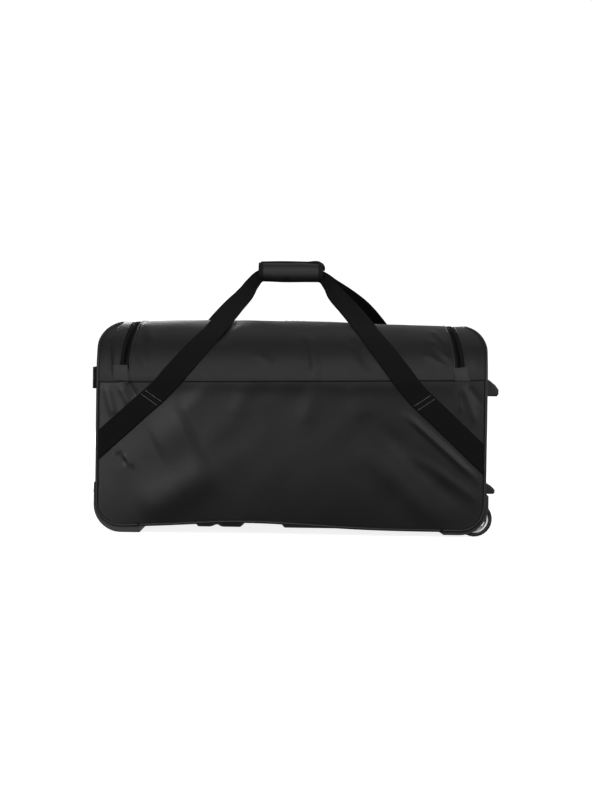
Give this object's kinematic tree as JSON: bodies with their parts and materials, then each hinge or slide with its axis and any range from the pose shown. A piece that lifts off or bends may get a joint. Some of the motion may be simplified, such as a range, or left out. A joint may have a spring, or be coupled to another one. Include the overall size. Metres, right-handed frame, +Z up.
{
  "type": "rolling duffel bag",
  "caption": "Rolling duffel bag: soft body with a zipped lid, webbing carry handles, moulded edge guard, wheels at one end and a telescopic pull handle at the other.",
  "frame": {"origin": "middle of the footprint, on the floor", "axes": "+X along the length towards the wheels, +Y from front to rear, +Z up"},
  "size_m": [0.72, 0.3783, 0.478],
  "materials": {
    "coated_fabric": "smooth coated cloth, semi-gloss",
    "woven_fabric": "fine woven cloth, matt",
    "piping": "corded edge binding",
    "webbing": "ribbed webbing",
    "grip_pad": "padded cloth sleeve",
    "zip_tape": "woven tape",
    "zip_teeth": "moulded coil",
    "zip_metal": "gunmetal",
    "tab_fabric": "grey bound tab",
    "moulding": "fine grained moulding",
    "frame_plastic": "plain moulding",
    "grip_plastic": "soft-touch moulding",
    "tube_metal": "satin drawn tube",
    "steel": "plain steel",
    "tyre": "solid rubber tread",
    "hub_plastic": "light grey moulding"
  },
  "bodies": {
    "bag": {"front_panel": "coated_fabric", "rear_panel": "coated_fabric", "bottom_panel": "coated_fabric", "end_gusset_left": "coated_fabric", "end_gusset_right": "coated_fabric", "shoulder_strip_left": "woven_fabric", "shoulder_strip_right": "woven_fabric", "rear_yoke": "woven_fabric", "piping_left": "piping", "piping_right": "piping", "piping_bottom": "piping", "front_strap_left": "webbing", "front_strap_right": "webbing", "rear_strap_left": "webbing", "rear_strap_right": "webbing", "side_grab_loop": "webbing", "zip_tape_bag": "zip_tape", "zip_teeth_bag": "zip_teeth", "zip_end_tab_left": "tab_fabric", "zip_end_tab_right": "tab_fabric", "corner_guard": "moulding", "wheel_housing_front": "moulding", "wheel_housing_rear": "moulding", "handle_cup": "moulding", "upper_foot_front": "moulding", "upper_foot_rear": "moulding", "lower_foot_front": "moulding", "lower_foot_rear": "moulding", "tube_bracket": "frame_plastic", "tube_saddles": "frame_plastic", "floor_board": "frame_plastic", "mouth_collars": "frame_plastic", "outer_tubes": "tube_metal", "wheel_axles": "steel", "guard_rivets": "steel", "housing_rivets": "steel"},
    "lid": {"lid_panel": "woven_fabric", "zip_tape_lid": "zip_tape", "zip_teeth_lid": "zip_teeth"},
    "slider_left": {"zip_slider_left": "zip_metal"},
    "slider_right": {"zip_slider_right": "zip_metal"},
    "pull_tab_left": {"zip_pull_left": "zip_metal"},
    "pull_tab_right": {"zip_pull_right": "zip_metal"},
    "handle_front": {"front_handle_strap": "webbing", "grip_wrap_front": "grip_pad"},
    "handle_rear": {"rear_handle_strap": "webbing", "grip_wrap_rear": "grip_pad"},
    "wheel_front": {"tyre_front": "tyre", "hub_front": "hub_plastic"},
    "wheel_rear": {"tyre_rear": "tyre", "hub_rear": "hub_plastic"},
    "pull_middle": {"middle_tubes": "tube_metal", "middle_collars": "frame_plastic"},
    "pull_inner": {"inner_tubes": "tube_metal", "lock_blocks": "frame_plastic", "grip_upper": "grip_plastic", "grip_lower": "grip_plastic"},
    "release": {"release_button": "grip_plastic"},
    "lock_pins": {"lock_pins": "steel"}
  },
  "joints": [
    {"name": "lid_open", "type": "hinge", "parent": "bag", "child": "lid", "pos_m": [0, -0.185, 0.264], "axis": [1, 0, 0], "range_deg": [0, 140]},
    {"name": "handle_front_fall", "type": "hinge", "parent": "bag", "child": "handle_front", "pos_m": [0, -0.1875, 0.246], "axis": [1, 0, 0], "range_deg": [0, 154]},
    {"name": "handle_rear_fall", "type": "hinge", "parent": "bag", "child": "handle_rear", "pos_m": [0, 0.1875, 0.246], "axis": [1, 0, 0], "range_deg": [-161, 0]},
    {"name": "pull_stage_one", "type": "slide", "parent": "bag", "child": "pull_middle", "axis": [-1, 0, 0], "range_m": [0, 0.2]},
    {"name": "pull_stage_two", "type": "slide", "parent": "pull_middle", "child": "pull_inner", "axis": [-1, 0, 0], "range_m": [0, 0.2]},
    {"name": "release_press", "type": "slide", "parent": "pull_inner", "child": "release", "axis": [1, 0, 0], "range_m": [0, 0.004], "stiffness_N_per_m": 600, "springref_m": -0.004},
    {"name": "lock_pins_draw", "type": "slide", "parent": "pull_inner", "child": "lock_pins", "axis": [0, 0, -1], "range_m": [0, 0.0015]},
    {"name": "wheel_front_spin", "type": "hinge", "parent": "bag", "child": "wheel_front", "pos_m": [0.318, -0.165, 0.031], "axis": [0, 1, 0], "continuous": true},
    {"name": "wheel_rear_spin", "type": "hinge", "parent": "bag", "child": "wheel_rear", "pos_m": [0.318, 0.165, 0.031], "axis": [0, 1, 0], "continuous": true},
    {"name": "slider_left_run", "type": "slide", "parent": "lid", "child": "slider_left", "axis": [-1, 0, 0], "range_m": [0, 0.23]},
    {"name": "pull_tab_left_swing", "type": "hinge", "parent": "slider_left", "child": "pull_tab_left", "pos_m": [-0.01, 0.085, 0.3687], "axis": [-1, 0, 0], "range_deg": [0, 120]},
    {"name": "slider_right_run", "type": "slide", "parent": "lid", "child": "slider_right", "axis": [1, 0, 0], "range_m": [0, 0.23]},
    {"name": "pull_tab_right_swing", "type": "hinge", "parent": "slider_right", "child": "pull_tab_right", "pos_m": [0.01, 0.085, 0.3687], "axis": [-1, 0, 0], "range_deg": [0, 120]}
  ],
  "couplings": [
    {"joint": "handle_front_fall", "follows": "lid_open", "ratio": 1.1},
    {"joint": "handle_rear_fall", "follows": "lid_open", "ratio": -1.15},
    {"joint": "lock_pins_draw", "follows": "release_press", "ratio": 0.375}
  ]
}
